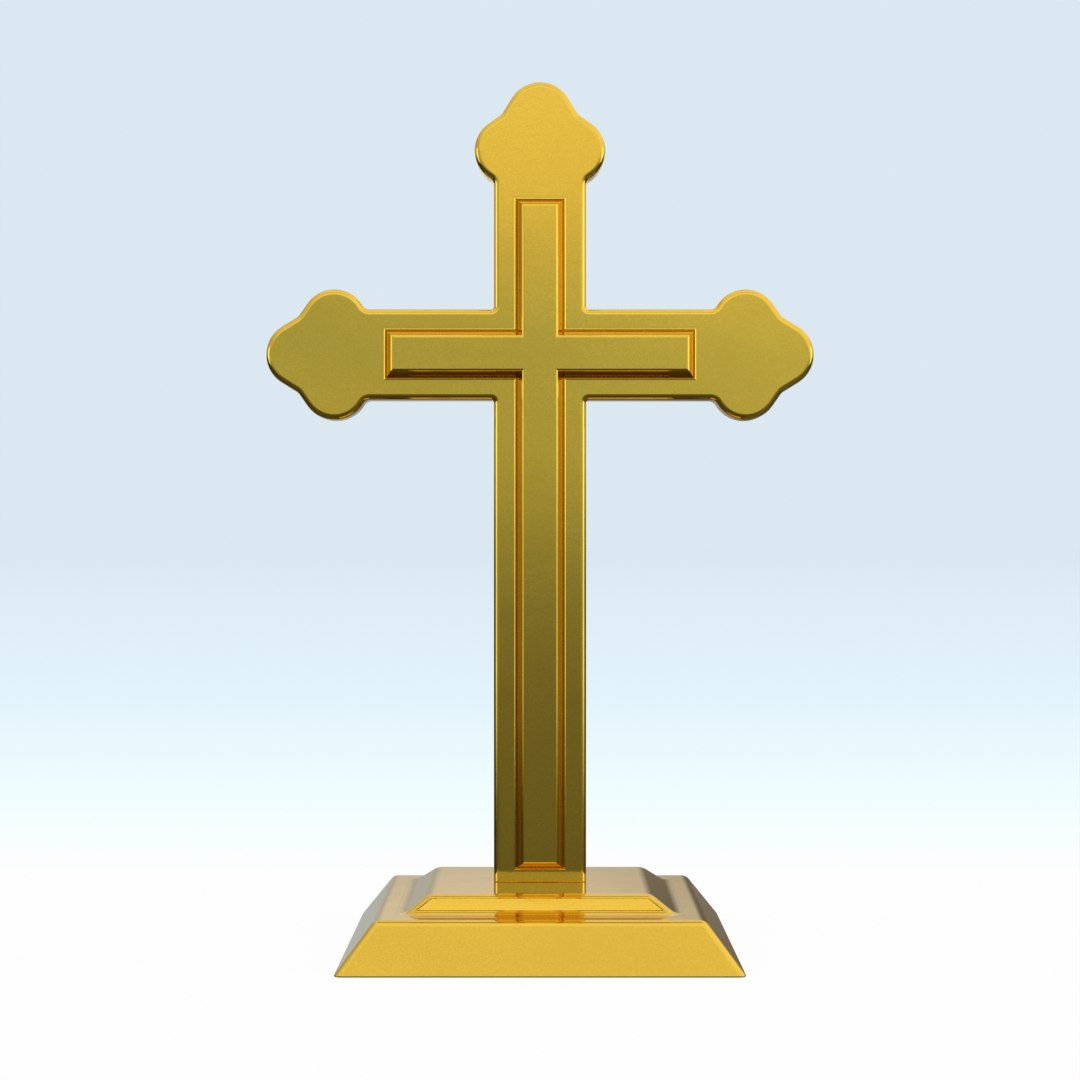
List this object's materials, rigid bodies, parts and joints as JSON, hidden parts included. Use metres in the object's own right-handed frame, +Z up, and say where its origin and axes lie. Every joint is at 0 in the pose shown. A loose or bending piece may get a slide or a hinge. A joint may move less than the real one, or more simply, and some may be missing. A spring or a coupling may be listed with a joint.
{
  "type": "altar cross",
  "caption": "Standing gold coloured altar cross with three-lobed budded ends, a raised plain cross on its front and a stepped square plinth with sloping sides.",
  "frame": {"origin": "middle of the underside of the felt, where the cross stands on the altar", "axes": "+Z up, the front with the raised cross faces -Y, +X to the right when facing the front"},
  "size_m": [0.291, 0.2034, 0.459],
  "materials": {
    "gilt_brass": "polished and lacquered, gold coloured",
    "zinc_steel": "bright zinc plated",
    "raw_iron": "as cast, dark",
    "green_felt": "pressed wool felt"
  },
  "bodies": {
    "root": {"cross_body": "gilt_brass", "back_cover": "gilt_brass", "back_cover_screws": "gilt_brass", "raised_cross": "gilt_brass", "raised_cross_screws": "zinc_steel", "upper_plinth": "gilt_brass", "lower_plinth": "gilt_brass", "tie_rod": "zinc_steel", "tie_washer": "zinc_steel", "tie_spring_washer": "zinc_steel", "tie_nut": "zinc_steel", "foot_dowels": "zinc_steel", "plinth_screws": "zinc_steel", "plinth_washers": "zinc_steel", "ballast_weight": "raw_iron", "bottom_plate": "zinc_steel", "bottom_plate_screws": "zinc_steel", "felt_pad": "green_felt"}
  },
  "joints": []
}
